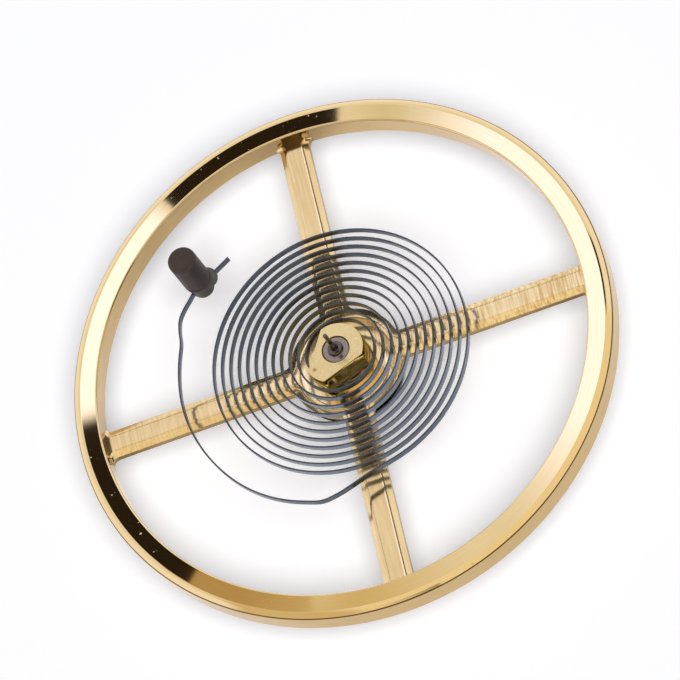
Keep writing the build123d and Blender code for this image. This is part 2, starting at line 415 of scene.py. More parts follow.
class Graph:
    """The nodes of one material or of the world."""

    def __init__(self, tree: NodeTree) -> None:
        """Starts with an empty tree."""
        self.tree = tree
        tree.nodes.clear()

    def node(self, kind: str, inputs: Inputs | None = None, **settings: str) -> Node:
        """Adds a node.

        Args:
            kind: The node's type.
            inputs: The value or link of each socket.
            settings: The node's own settings, which are set first.

        Returns:
            The node.
        """
        made = self.tree.nodes.new(kind)
        for name, setting in settings.items():
            setattr(made, name, setting)
        for name, value in (inputs or {}).items():
            socket = made.inputs[name]
            if isinstance(value, Value):
                self.tree.links.new(value.socket, socket)
            else:
                socket.default_value = value
        return made

    def output(self, made: Node, name: str | int) -> Value:
        """One output of a node."""
        return Value(self, made.outputs[name])

    def result(self, kind: str, inputs: Inputs, **settings: str) -> Value:
        """The first output of a new node, which is made as above."""
        return self.output(self.node(kind, inputs, **settings), 0)

    def maths(self, operation: str, *terms: Value | float) -> Value:
        """The result of a Math node on some terms, in order."""
        inputs = dict(enumerate(terms))
        return self.result("ShaderNodeMath", inputs, operation=operation)

    def length(self, x: Value, y: Value) -> Value:
        """How long a flat vector is."""
        return self.maths("SQRT", x * x + y * y)

    def place(self) -> Value:
        """The point being shaded, in millimetres in the part's frame."""
        where = self.output(self.node("ShaderNodeTexCoord"), "Object")
        inputs = {0: where, "Scale": 1 / MM}
        return self.result("ShaderNodeVectorMath", inputs, operation="SCALE")

    def parts(self, vector: Value) -> list[Value]:
        """The X, Y and Z of a vector."""
        split = self.node("ShaderNodeSeparateXYZ", {0: vector})
        return [self.output(split, axis) for axis in range(3)]

    def speckle(self, where: Value, scale: float, detail: float = 3.0) -> Value:
        """Noise from 0 to 1 at a place, about 0.5 on average."""
        inputs = {"Vector": where, "Scale": scale, "Detail": detail}
        inputs["Roughness"] = NOISE_ROUGHNESS
        return self.result("ShaderNodeTexNoise", inputs)

    def streaks(self, *parts: Value) -> Value:
        """Noise at a place that is given by its X, Y and Z."""
        where = self.result("ShaderNodeCombineXYZ", dict(enumerate(parts)))
        return self.speckle(where, 1.0)

    def blend(self, share: Value, start: Triple | Value, end: Triple) -> Value:
        """A colour between two, the end's by this share."""
        first = start if isinstance(start, Value) else (*start, 1.0)
        inputs = {"Factor": share, MIX_START: first, MIX_END: (*end, 1.0)}
        mix = self.node("ShaderNodeMix", inputs, data_type="RGBA")
        return self.output(mix, MIX_RESULT)

    def bump(self, height: Value, depth: float) -> Value:
        """A normal bent by a height, where 1 stands out by a depth in millimetres."""
        inputs = {"Height": height, "Strength": 1.0, "Distance": depth * MM}
        return self.result("ShaderNodeBump", inputs)

    def rays(self, *kinds: str) -> Value:
        """1 for rays of any of these kinds, and 0 for the rest."""
        path = self.node("ShaderNodeLightPath")
        seen, *others = [self.output(path, f"Is {kind} Ray") for kind in kinds]
        for other in others:
            seen = seen.most(other)
        return seen


def blank_material(name: str) -> tuple[Material, Graph]:
    """A new material and its empty graph."""
    made = bpy.data.materials.new(name)
    made.use_nodes = True
    return made, Graph(made.node_tree)


class Grain(Enum):
    """The way that marks run: round the staff, along Y, level, or every way.

    The value is how fast they change along their run, where 1 is how fast they change
    across it.
    """

    TURNED = 0.1
    STRAIGHT = 0.06
    ROLLED = 0.08
    MATT = 1.0


@dataclass(frozen=True)
class Wear:
    """A spot's colour, how far it covers, and the roughness that it adds."""

    colour: Triple
    share: float
    roughness: float


SPECK = Wear((0.95, 0.9, 0.75), 0.5, 0.25)
SPECK_SCALE, SPECK_DETAIL, SPECK_RISE = 14.0, 2.0, (0.78, 0.84)
# A small brown spot, which fades out from its middle
BROWN_SPOT = Wear((0.22, 0.13, 0.05), 0.7, 0.2)
BROWN_SPOT_FADE, BROWN_SPOT_FRAY = (0.0006, 0.0035), 0.002
CLOUD_SCALE, CLOUD_DETAIL = 0.9, 4.0
TONE_BY_MARKS, TONE_BY_CLOUD, TONE_START = 1.2, 0.8, 0.62
ROUGH_BY_CLOUD, LEAST_ROUGH, ACROSS_MARKS = 0.4, 0.02, 0.25
# The straight grain is faint on the hub, bolder along X and boldest on the arm at +X
BOLD_RISE, BOLD_HUB, BOLD_ALONG_X, BOLD_FIRST_ARM = (0.3, 0.9), 0.5, 0.6, 1.7


@dataclass(frozen=True)
class Finish:
    """A worked surface: two tones, marks that run one way, and a little wear.

    Attributes:
        name: The material's name.
        slot: The record's material slot; not used.
        colour: The main colour.
        tone: The colour that the marks and mottling turn towards.
        grain: The way that the marks run.
        pitch: The marks' width in millimetres.
        depth: The marks' depth in millimetres.
        roughness: The average roughness.
        spread: How far the marks change the roughness.
        metal: 1 for metal and 0 for the rest.
        stretch: How far highlights stretch across turned marks.
        specks: The share of fine pale specks.
        brown_spot: Where a small brown spot is, seen from above.
        coat: The strength of a clear coat.
        glassy: How far light passes through.
    """

    name: str
    slot: str
    colour: Triple
    tone: Triple
    grain: Grain
    pitch: float
    depth: float
    roughness: float
    spread: float
    metal: float = 1.0
    stretch: float = 0.0
    specks: float = 0.0
    brown_spot: Point | None = None
    coat: float = 0.0
    glassy: float = 0.0

    def marks(self, graph: Graph, place: Value) -> Value:
        """The marks' height at a place, from 0 to 1.

        Args:
            graph: The material's graph.
            place: The point being shaded.

        Returns:
            The height.
        """
        fine = 1 / self.pitch
        slow = self.grain.value * fine
        if self.grain is Grain.MATT:
            return graph.speckle(place, fine)
        x, y, z = graph.parts(place)
        if self.grain is Grain.ROLLED:
            return graph.streaks(x * slow, y * slow, z * fine)
        if self.grain is Grain.TURNED:
            radius, angle = graph.length(x, y), graph.maths("ARCTAN2", y, x)
            return graph.streaks(radius * fine, angle * slow, z * fine)
        streaks = graph.streaks(x * fine, y * slow, z * fine)
        along_x = graph.maths("ABSOLUTE", x).rise(*BOLD_RISE) * BOLD_ALONG_X
        bold = along_x + x.rise(*BOLD_RISE) * BOLD_FIRST_ARM + BOLD_HUB
        return ((streaks - 0.5) * bold + 0.5).limited()

    def overlaid(
        self, graph: Graph, place: Value, marks: Value
    ) -> Iterator[tuple[Value, Wear]]:
        """How far specks and the brown spot cover a place, which the marks fray."""
        if self.specks:
            start, end = SPECK_RISE
            fleck = graph.speckle(place, SPECK_SCALE, SPECK_DETAIL)
            yield fleck.rise(start - self.specks, end - self.specks), SPECK
        if self.brown_spot:
            x, y, _ = graph.parts(place)
            x, y = x - self.brown_spot[0], y - self.brown_spot[1]
            away = x * x + y * y + marks * BROWN_SPOT_FRAY
            yield 1 - away.rise(*BROWN_SPOT_FADE), BROWN_SPOT

    def material(self) -> Material:
        """The material, made once, whose colour, roughness and normal all vary."""
        if self.name in bpy.data.materials:
            return bpy.data.materials[self.name]
        made, graph = blank_material(self.name)
        place = graph.place()
        marks = self.marks(graph, place)
        cloud = graph.speckle(place, CLOUD_SCALE, CLOUD_DETAIL)
        tone = marks * TONE_BY_MARKS + cloud * TONE_BY_CLOUD - TONE_START
        colour = graph.blend(tone.limited(), self.colour, self.tone)
        rough = self.roughness + (marks - 0.5) * self.spread
        rough = rough + (cloud - 0.5) * (ROUGH_BY_CLOUD * self.spread)
        for cover, wear in self.overlaid(graph, place, marks):
            colour = graph.blend(cover * wear.share, colour, wear.colour)
            rough = rough + cover * wear.roughness
        inputs = {
            "Base Color": colour,
            "Roughness": rough.most(LEAST_ROUGH),
            "Metallic": self.metal,
            "Normal": graph.bump(marks, self.depth),
            "Anisotropic": self.stretch,
            "Anisotropic Rotation": ACROSS_MARKS if self.stretch else 0.0,
            "Coat Weight": self.coat,
            "Transmission Weight": self.glassy,
        }
        shader = graph.result("ShaderNodeBsdfPrincipled", inputs)
        graph.node("ShaderNodeOutputMaterial", {"Surface": shader})
        return made


GILT_TURNED = Finish(
    "turned gilt", "gilt_brass", (0.94, 0.77, 0.5), (0.88, 0.69, 0.4),
    Grain.TURNED, 0.02, depth=0.00005, roughness=0.03, spread=0.01, specks=0.085,
)
# A darker copy of the gilt for the rim's walls: painted shade, standing in for the darker reflections that
# the walls show.
SHADED_GILT_WALL = Finish(
    "shaded gilt wall", "gilt_brass", (0.62, 0.44, 0.21), (0.5, 0.34, 0.14),
    Grain.ROLLED, 0.03, depth=0.0003, roughness=0.12, spread=0.08,
)
# A dark brown gilt for the rim's rounded corner between bevel and outer wall: a painted dark reflection
# line.
PAINTED_DARK_EDGE = Finish(
    "gilt corner painted dark", "gilt_brass", (0.22, 0.125, 0.04), (0.14, 0.075, 0.02),
    Grain.MATT, 0.05, depth=0.0005, roughness=0.16, spread=0.1,
)
# A dark brown copy of the gilt for the walls of the arms, hub and plate edge: painted shade.
SHADED_ARM_WALL = Finish(
    "shaded arm wall gilt", "gilt_brass", (0.34, 0.22, 0.08), (0.24, 0.15, 0.05),
    Grain.ROLLED, 0.03, depth=0.0005, roughness=0.2, spread=0.1,
)
GILT_GRAINED = Finish(
    "grained gilt", "gilt_brass", (1.0, 0.83, 0.56), (0.7, 0.49, 0.23),
    Grain.STRAIGHT, 0.042, depth=0.0008, roughness=0.14, spread=0.08,
)
STAFF_STEEL = Finish(
    "polished staff steel", "staff_steel", (0.36, 0.32, 0.33), (0.2, 0.17, 0.18),
    Grain.TURNED, 0.02, depth=0.0008, roughness=0.14, spread=0.1,
)
# A darker copy of the staff steel for the pivots and their cones: painted dark reflection.
PIVOT_STEEL = Finish(
    "pivot steel painted dark", "staff_steel", (0.17, 0.15, 0.16), (0.1, 0.085, 0.09),
    Grain.TURNED, 0.02, depth=0.0006, roughness=0.1, spread=0.06,
)
# The collet's top has a small brown spot on its nose.
COLLET_BRASS = Finish(
    "fine brass", "collet_brass", (0.92, 0.78, 0.46), (0.74, 0.57, 0.27),
    Grain.MATT, 0.03, depth=0.002, roughness=0.3, spread=0.16, brown_spot=(-0.455, -0.25),
)
COLLET_SIDE = Finish(
    "polished brass", "collet_brass", (0.95, 0.76, 0.32), (0.8, 0.58, 0.2),
    Grain.ROLLED, 0.03, depth=0.0004, roughness=0.1, spread=0.08,
)
PIN_BRASS = Finish(
    "drawn pin brass", "pin_brass", (0.72, 0.56, 0.3), (0.5, 0.36, 0.16),
    Grain.MATT, 0.02, depth=0.001, roughness=0.3, spread=0.15,
)
# The strip's top and bottom edges are darker than its flat walls: painted dark reflection on the edges.
SPRING_ALLOY = Finish(
    "spring alloy edges painted dark", "spring_alloy", (0.06, 0.07, 0.095), (0.13, 0.15, 0.19),
    Grain.ROLLED, 0.02, depth=0.0006, roughness=0.25, spread=0.12,
)
SPRING_FLAT = Finish(
    "spring alloy flats", "spring_alloy", (0.13, 0.155, 0.2), (0.21, 0.24, 0.285),
    Grain.ROLLED, 0.02, depth=0.0006, roughness=0.25, spread=0.12,
)
CEMENT = Finish(
    "stud cement", "cement", (0.06, 0.062, 0.06), (0.12, 0.115, 0.105),
    Grain.MATT, 0.05, depth=0.006, roughness=0.6, spread=0.2, metal=0.0,
)
STUD_STEEL = Finish(
    "dark stud steel", "stud_steel", (0.05, 0.036, 0.033), (0.09, 0.07, 0.064),
    Grain.MATT, 0.03, depth=0.002, roughness=0.5, spread=0.2, metal=0.6,
)
ROLLER_STEEL = Finish(
    "polished roller steel", "roller_steel", (0.62, 0.62, 0.64), (0.5, 0.5, 0.52),
    Grain.TURNED, 0.015, depth=0.0004, roughness=0.14, spread=0.08, stretch=0.5,
)
RUBY = Finish(
    "ruby", "ruby", (0.62, 0.02, 0.07), (0.45, 0.01, 0.05),
    Grain.MATT, 0.2, depth=0.0002, roughness=0.06, spread=0.03, metal=0.0, glassy=0.75,
)
SHELLAC = Finish(
    "shellac", "shellac", (0.3, 0.1, 0.03), (0.18, 0.05, 0.015),
    Grain.MATT, 0.06, depth=0.002, roughness=0.18, spread=0.1, metal=0.0, coat=0.6,
)


def dress(
    piece: Object,
    finish: Finish,
    node: str,
    body: str | None = "balance",
    angle: float = 28.0,
) -> Object:
    """Gives a piece its finish and puts it in a node's place.

    Args:
        piece: The piece.
        finish: Its finish.
        node: The CAD node that it stands for.
        body: The body that it rides on, or None where it bends between two.
        angle: The least angle of its sharp edges, in degrees.

    Returns:
        The piece.
    """
    crease(piece, angle)
    piece.data.materials.clear()
    piece.data.materials.append(finish.material())
    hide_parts(node)
    if body:
        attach(piece, body)
    return piece


def refinish(
    piece: Object, finish: Finish, chosen: Callable[[MeshPolygon], bool]
) -> None:
    """Gives the chosen faces of a piece a finish of their own."""
    piece.data.materials.append(finish.material())
    for face in piece.data.polygons:
        if chosen(face):
            face.material_index = len(piece.data.materials) - 1


def upright(face: MeshPolygon) -> bool:
    """Whether a face is a wall."""
    return abs(face.normal.z) < UPRIGHT


# Pieces


@dataclass
class Wheel:
    """The wheel: a smooth rim, four bevelled arms and a hub, in one gilt piece."""

    radius: float = 5.0
    rim_width: float = 0.45
    foot: float = 1.17
    top: float = 1.65
    crown: float = 0.03
    bevel_width: float = 0.1
    bevel_drop: float = 0.05
    bevel_ease: float = 0.21
    corner_ease: float = 0.034
    # The rise of the normals that bounds the rim corner painted dark as a reflection line
    dark_edge_from: float = 0.3
    dark_edge_to: float = 0.87
    edge_break: float = 0.03
    arm_width: float = 0.54
    arm_foot: float = 1.21
    arm_top: float = 1.36
    arm_overlap: float = 0.01
    arm_root: float = 0.15
    arm_bevel_width: float = 0.11
    arm_bevel_depth: float = 0.05
    arm_bevel_ease: float = 0.16
    arm_corner_ease: float = 0.012
    arm_flat: float = 0.075
    corner: float = 0.14
    hub: float = 1.05
    seat: float = 0.42
    cove_start: float = 0.68
    cove_end: float = 0.855
    cove_depth: float = 0.0095
    steps: int = 360

    @property
    def inner(self) -> float:
        """The rim's inner radius."""
        return self.radius - self.rim_width

    def overlaid(self, face: MeshPolygon) -> bool:
        """Whether a face is on the rim's corner between bevel and outer wall: painted reflection."""
        outward = face.normal.x * face.center.x + face.normal.y * face.center.y > 0
        sloping = self.dark_edge_from < face.normal.z < self.dark_edge_to
        return outward and sloping and face.center.z > self.arm_top * MM

    def rim(self) -> Object:
        """Turns the rim, whose top falls a little from its inner edge to its bevel."""
        edge, brow = self.edge_break, self.top - self.crown
        section = [
            (self.inner, self.foot, edge),
            (self.radius, self.foot, edge),
            (self.radius, brow - self.bevel_drop, self.corner_ease),
            (self.radius - self.bevel_width, brow, self.bevel_ease),
            (self.inner, self.top, edge),
        ]
        line = eased(section, closed=True, steps=EASE_STEPS)
        piece = Former().turning(line, self.steps, closed=True).piece("wheel_rim")
        dress(piece, GILT_TURNED, "balance_wheel", angle=40)
        # The rim's walls get the darker copy of the gilt: painted shade.
        refinish(piece, SHADED_GILT_WALL, upright)
        # The rounded corner between bevel and outer wall is painted dark: a painted reflection line.
        refinish(piece, PAINTED_DARK_EDGE, self.overlaid)
        return piece

    def window(self, widening: float) -> list[Point]:
        """The outline of one window between two arms.

        Args:
            widening: How far the arms' and the hub's sides are moved back.

        Returns:
            The outline, with as many points for every widening.
        """
        side, fillet = self.arm_width / 2 - widening, self.corner
        hub, rim = self.hub - widening, self.inner + self.arm_overlap
        outer_x = sqrt((rim - fillet) ** 2 - (side + fillet) ** 2)
        inner_x = sqrt((hub + fillet) ** 2 - (side + fillet) ** 2)
        outer_turn = degrees(atan2(side + fillet, outer_x))
        inner_turn = degrees(atan2(side + fillet, inner_x))
        line, count = [], FILLET_STEPS
        for step in range(ARM_STEPS + 1):
            line.append((inner_x + (outer_x - inner_x) * step / ARM_STEPS, side))
        line += arc(fillet, -90, outer_turn + 90, count, (outer_x, side + fillet))[1:]
        line += arc(rim, outer_turn, 45 - outer_turn, ARM_STEPS)[1:]
        nook = arc(fillet, -90, inner_turn - 90, count, (inner_x, side + fillet))[1:]
        nook += arc(hub, inner_turn, 45 - inner_turn, count)[1:]
        half = [(y, x) for x, y in reversed(line[:-1])]
        back = [(y, x) for x, y in nook[:-1]]
        return line + half + back + nook[::-1]

    def hub_levels(self) -> list[Point]:
        """Radius and height up the bore and out over the shallow cove round it."""
        seat, top, fall = self.seat, self.arm_top, self.cove_depth
        levels = [(seat, self.arm_foot), (seat, top - fall)]
        for step in range(COVE_STEPS + 1):
            share = step / COVE_STEPS
            radius = self.cove_start + (self.cove_end - self.cove_start) * share
            levels.append((radius, top - fall * (1 - share**2)))
        return levels

    def spider(self) -> Object:
        """Cuts the arms and hub from a plate, whose upper edges are bevelled."""
        former, reach = Former(), self.inner + self.arm_root
        edge = [(reach, self.arm_foot), (reach, self.arm_top)]
        sides = [
            former.walls(lambda radius: circle(radius, self.steps), edge),
            former.walls(lambda radius: circle(radius, DISC_STEPS), self.hub_levels()),
        ]
        bevel = [
            (0.0, self.arm_foot, 0),
            (0.0, self.arm_top - self.arm_bevel_depth, self.arm_corner_ease),
            (self.arm_bevel_width, self.arm_top, self.arm_bevel_ease),
            (self.arm_bevel_width + self.arm_flat, self.arm_top, 0),
        ]
        levels = braced(eased(bevel, steps=EASE_STEPS))[:-1]

        def window(widening: float) -> list[Vector]:
            """The window of the present quarter."""
            outline = self.window(widening)
            return [turned(Vector(point), 90 * quarter) for point in outline]

        for quarter in range(4):
            sides.append(former.walls(window, levels))
        piece = former.close(*sides).piece("wheel_arms")
        dress(piece, GILT_GRAINED, "balance_wheel", angle=35)
        # The walls of the arms and hub get the dark brown copy of the gilt: painted shade.
        refinish(piece, SHADED_ARM_WALL, upright)
        return piece


@dataclass
class Staff:
    """The staff, one steel turning from pivot to pivot.

    The profile gives the radius, height and rounding of each corner from the lower
    tip up: lower pivot, roller seat, flange, wheel seat, rivet, collet seat, boss and
    upper pivot, each on a line.
    """

    profile: tuple[Triple, ...] = (
        (0, 0, 0), (0.04, 0, 0.012), (0.04, 0.32, 0.03), (0.09, 0.46, 0),
        (0.2, 0.46, 0.012), (0.2, 1.06, 0),
        (0.55, 1.06, 0.015), (0.55, 1.21, 0.015),
        (0.42, 1.21, 0), (0.42, 1.36, 0),
        (0.49, 1.36, 0), (0.42, 1.4, 0.02),
        (0.26, 1.4, 0), (0.26, 1.87, 0.006), (0.23, 1.9, 0.006),
        (0.15, 1.9, 0.01), (0.13, 1.97, 0.012),
        (0.075, 1.97, 0.01), (0.04, 2.18, 0.03), (0.04, 2.5, 0.012), (0, 2.5, 0),
    )
    lower_cone_top: float = 0.46
    upper_cone_foot: float = 1.93

    def on_pivot(self, face: MeshPolygon) -> bool:
        """Whether a face is on a pivot or its cone."""
        height = face.center.z / MM
        return height < self.lower_cone_top or height > self.upper_cone_foot

    def axle(self) -> Object:
        """Turns the staff."""
        piece = Former().turning(eased(self.profile), TURN_STEPS).piece("staff")
        dress(piece, STAFF_STEEL, "balance_staff")
        # The pivots and cones get the darker copy of the steel: painted dark reflection.
        refinish(piece, PIVOT_STEEL, self.on_pivot)
        return piece


@dataclass
class Collet:
    """The collet, whose two flats run out to a nose drilled across, and its pin.

    The levels give the inset and height of each level of the collet's side.
    """

    radius: float = 0.51
    levels: tuple[Point, ...] = (
        (BRACE, 1.4), (0, 1.4 + BRACE),
        (0, 1.88), (0.006, 1.894), (0.02, 1.9), (0.02 + BRACE, 1.9),
    )
    nose_reach: float = 0.64
    nose_corner: float = 0.06
    nose_angle: float = 220.0
    flat_angle: float = 69.3
    flat_distance: float = 0.393
    bore: float = 0.26
    hole_distance: float = 0.5
    hole_level: float = 1.73
    hole_radius: float = 0.07
    pin_play: float = 0.001
    pin_stand_out: float = 0.06
    pin_taper: float = 0.015
    pin_tip: float = 0.8
    spring_thickness: float = 0.03

    @property
    def hole_way(self) -> Vector:
        """The way that the hole runs."""
        return polar(1, self.nose_angle - 90)

    @property
    def hole_middle(self) -> Vector:
        """The hole's middle, seen from above."""
        return polar(self.hole_distance, self.nose_angle)

    @property
    def hole_half(self) -> float:
        """Half of the hole's length."""
        lean = radians(self.flat_angle)
        near = self.flat_distance - self.hole_distance * cos(lean)
        return near / sin(lean)

    def outline(self, inset: float) -> list[Point]:
        """The collet's outline seen from above.

        Args:
            inset: How far the outline is drawn in.

        Returns:
            The outline's points.
        """
        body, reach = self.radius - inset, self.nose_reach - inset
        flat = self.flat_distance - inset
        body_turn = self.flat_angle + degrees(acos(flat / body))
        nose_turn = self.flat_angle - degrees(acos(flat / reach))
        sweep, middle, cut = 360 - 2 * body_turn, self.nose_angle, NOSE_CORNER_STEPS
        line = arc(body, middle + body_turn, sweep, COLLET_STEPS)
        nose = arc(reach, middle - nose_turn, 2 * nose_turn, NOSE_STEPS)
        near = [(*line[-1], 0), (*nose[0], self.nose_corner), (*nose[cut], 0)]
        far = [(*nose[-1 - cut], 0), (*nose[-1], self.nose_corner), (*line[0], 0)]
        near, far = (eased(corner, steps=EASE_STEPS)[1:-1] for corner in (near, far))
        return line + near + nose[cut:-cut] + far

    def ring(self) -> Object:
        """Makes the collet."""
        bore = circle(self.bore, COLLET_STEPS)
        piece = Former().plate(self.outline, self.levels, bore).piece("collet_ring")
        middle = Vector((*self.hole_middle, self.hole_level))
        drill(piece, middle, Vector((*self.hole_way, 0)), self.hole_radius, self.radius)
        dress(piece, COLLET_BRASS, "collet", angle=30)
        refinish(piece, COLLET_SIDE, upright)
        return piece

    def pin(self) -> Object:
        """Makes the pin that holds the spring in the nose."""
        way = Vector((*self.hole_way, 0))
        across = Vector((*polar(1, self.nose_angle), 0))
        start = Vector((*self.hole_middle, self.hole_level))
        start -= way * (self.hole_half + self.pin_stand_out)
        axes = Matrix((across, Vector((0, 0, 1)), way)).transposed().to_4x4()
        former = Former(Matrix.Translation(start) @ axes)
        flat = self.spring_thickness / 2
        lean = degrees(acos(flat / self.hole_radius))
        section = arc(self.hole_radius - self.pin_play, -lean, 2 * lean, PIN_STEPS)

        def scaled(share: float) -> list[Point]:
            """The pin's section, drawn in to a share of its size."""
            return [(share * (flat - x) - flat, share * y) for x, y in section]

        levels = [(self.pin_tip, 0), (1, self.pin_taper), (1, 2 * self.hole_half)]
        return dress(former.plate(scaled, levels).piece("pin"), PIN_BRASS, "collet_pin")


class Route:
    """A level line of straight stretches and arcs, each running smoothly on.

    An arc's lean is the angle from its first direction to its chord.
    """

    STEP_LEAN = 1.5
    STEP_LENGTH = 0.12
    LEAST_LEAN = 1e-4

    def __init__(self, start: Vector, way: Vector) -> None:
        """Starts at a point, on its way in a direction."""
        self.points = [start]
        self.ways = [way]

    def straight(self, end: Vector) -> None:
        """Goes straight on to a point."""
        self.points.append(end)
        self.ways.append(self.ways[-1])

    def bend(self, end: Vector) -> None:
        """Goes to a point on the one arc that starts on the present way."""
        start, way = self.points[-1], self.ways[-1]
        chord = end - start
        lean = degrees(atan2(way.cross(chord), way.dot(chord)))
        leans, lengths = abs(lean) / self.STEP_LEAN, chord.length / self.STEP_LENGTH
        count = max(2, ceil(leans), ceil(lengths))
        for step in range(1, count + 1):
            share = part = step / count
            if abs(lean) > self.LEAST_LEAN:
                share = sin(radians(lean * part)) / sin(radians(lean))
            self.points.append(start + turned(way, lean * part) * chord.length * share)
            self.ways.append(turned(way, 2 * lean * part))

    def swing(self, radius: float, sweep: float) -> None:
        """Goes round an arc of a radius, to the left for a sweep above 0."""
        reach = 2 * radius * sin(radians(abs(sweep)) / 2)
        self.bend(self.points[-1] + turned(self.ways[-1], sweep / 2) * reach)

    def ease(self, end: Vector, end_way: Vector) -> None:
        """Goes to a point on two arcs, and leaves it on a given way."""
        start, way = self.points[-1], self.ways[-1]
        chord = end - start
        turn = 2 * (1 - way.dot(end_way))
        ahead = chord.dot(way + end_way)
        reach = (sqrt(ahead**2 + turn * chord.dot(chord)) - ahead) / turn
        self.bend((start + end + (way - end_way) * reach) * 0.5)
        self.bend(end)
        self.ways[-1] = end_way


@dataclass
class Hairspring:
    """The hairspring: half turns about two centres, then the outer curve to the stud.

    The outer curve is given by the points that it passes: each one's angle, its share
    of the way from the coils to the stud, and how far the line slopes outwards there.
    """

    collet: Collet
    thickness: float = 0.03
    height: float = 0.13
    edge: float = 0.006
    pitch: float = 0.1568
    inner_radius: float = 0.591
    start_angle: float = 175.0
    half_turns: int = 23
    last_turn: float = 71.0
    end_length: float = 0.02
    tail: float = 0.678
    terminal_reach: float = 0.6718
    stud_angle: float = 133.8
    stud_slope: float = -14.4
    stud_entry: float = 0.1
    terminal: tuple[Triple, ...] = (
        (267.0, 0.205, 21.3),
        (254.0, 0.597, 22.1),
        (243.0, 0.696, 4.3),
        (190.0, 0.821, 1.9),
        (158.0, 0.866, 2.3),
        (149.5, 1.068, 18.0),
        (142.0, 1.092, -6.8),
    )

    @property
    def outer_radius(self) -> float:
        """The radius that the coils end at."""
        return self.inner_radius + self.half_turns * self.pitch / 2

    @property
    def stud_middle(self) -> Vector:
        """The stud's place, seen from above."""
        return polar(self.outer_radius + self.terminal_reach, self.stud_angle)

    @property
    def stud_way(self) -> Vector:
        """The way that the spring goes through the stud."""
        return polar(1, self.stud_angle - 90 + self.stud_slope)

    def route(self) -> tuple[Route, int, int]:
        """Lays out the spring's line.

        Returns:
            The line, and the numbers of its last point in the collet and of its first
            in the stud.
        """
        way, half = self.collet.hole_way, self.collet.hole_half
        route = Route(self.collet.hole_middle - way * half, way)
        route.straight(self.collet.hole_middle + way * (half + self.end_length))
        held = len(route.points) - 1
        first = polar(self.inner_radius, self.start_angle)
        route.ease(first, polar(1, self.start_angle - 90))
        radius = self.inner_radius + self.pitch / 4
        for half_turn in range(self.half_turns):
            route.swing(radius + half_turn * self.pitch / 2, -180)
        route.swing(radius + self.half_turns * self.pitch / 2, -self.last_turn)
        for angle, share, slope in self.terminal:
            radius = self.outer_radius + share * self.terminal_reach
            route.ease(polar(radius, angle), polar(1, angle - 90 + slope))
        route.ease(self.stud_middle - self.stud_way * self.stud_entry, self.stud_way)
        pinned = len(route.points) - 1
        route.straight(self.stud_middle + self.stud_way * self.tail)
        return route, held, pinned

    def section(self) -> list[Point]:
        """The strip's section, with its long edges broken."""
        a, b, edge = self.thickness / 2, self.height / 2, self.edge
        quarter = [(a, b - edge), (a - edge, b)]
        left = [(-x, y) for x, y in reversed(quarter)]
        return quarter + left + [(-x, -y) for x, y in quarter + left]

    def strip(self) -> Object:
        """Makes the strip, which winds between the stud and the collet."""
        route, held, pinned = self.route()
        level, section = self.collet.hole_level, self.section()
        former = Former()
        rings = []
        for point, way in zip(route.points, route.ways):
            across = turned(way, 90)
            rings.append(
                former.ring((*(point + across * x), level + y) for x, y in section)
            )
        former.join(rings)
        former.faces += [tuple(rings[0]), tuple(rings[-1])]
        piece = former.piece("spring_strip")
        # The edges take the darker blue-grey and the walls the lighter one: painted dark reflection on the
        # edges.
        dress(piece, SPRING_ALLOY, "hairspring", None, angle=30)
        refinish(piece, SPRING_FLAT, upright)
        along = [0.0]
        for start, end in zip(route.points, route.points[1:]):
            along.append(along[-1] + (end - start).length)
        free = along[pinned] - along[held]
        shares = [min(1.0, max(0.0, (along[pinned] - at) / free)) for at in along]
        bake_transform(piece, "stud_side", "balance", start=(0, 0, 0), end=(0, 0, MM))
        winding = piece.data.attributes["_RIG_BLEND"].data
        winding.foreach_set("value", [share for share in shares for _ in section])
        return piece


@dataclass
class Stud:
    """The stud, and the bead of cement where the spring leaves it.

    The profile gives the radius, the height over the spring and the rounding of each
    corner from the foot up: foot, groove and top, each on a line.
    """

    spring: Hairspring
    profile: tuple[Triple, ...] = (
        (0, -0.11, 0), (0.2, -0.11, 0.03),
        (0.26, 0.28, 0.01), (0.22, 0.32, 0.01), (0.26, 0.36, 0.01),
        (0.26, 1.14, 0.066), (0, 1.14, 0),
    )
    radius: float = 0.26
    foot: float = 0.11
    hole_radius: float = 0.07
    bead_radius: float = 0.17
    bead_stand_out: float = 0.08
    lump_scale: float = 9.0
    lump_swell: float = 0.06
    lump_height: float = 0.05

    @property
    def level(self) -> float:
        """The spring's level."""
        return self.spring.collet.hole_level

    def post(self) -> Object:
        """Turns the stud and drills it across."""
        corners = [(x, self.level + rise, ease) for x, rise, ease in self.profile]
        middle, way = self.spring.stud_middle, Vector((*self.spring.stud_way, 0))
        former = Former().turning(eased(corners), TURN_STEPS, tuple(middle))
        piece = former.piece("stud_post")
        hole = Vector((*middle, self.level))
        drill(piece, hole, way, self.hole_radius, 2 * self.radius)
        return dress(piece, STUD_STEEL, "hairspring_stud", "stud_side")

    def bead(self) -> Object:
        """Makes the lumpy bead of cement."""
        reach = self.radius + self.bead_stand_out - self.bead_radius
        middle = self.spring.stud_middle + self.spring.stud_way * reach
        height = self.level + self.bead_radius - self.foot
        foot, *half, top = arc(self.bead_radius, -90, 180, BEAD_STEPS, (0, height))
        line = [(0, foot[1]), *half, (0, top[1])]
        former = Former().turning(line, 2 * BEAD_STEPS, tuple(middle))
        centre = Vector((*middle, height))
        for number, point in enumerate(former.points):
            swell = noise.noise(point * self.lump_scale) * self.lump_height
            swell += 1 + self.lump_swell
            former.points[number] = centre + (point - centre) * swell
        piece = former.piece("cement_bead")
        return dress(piece, CEMENT, "stud_cement", "stud_side", angle=60)


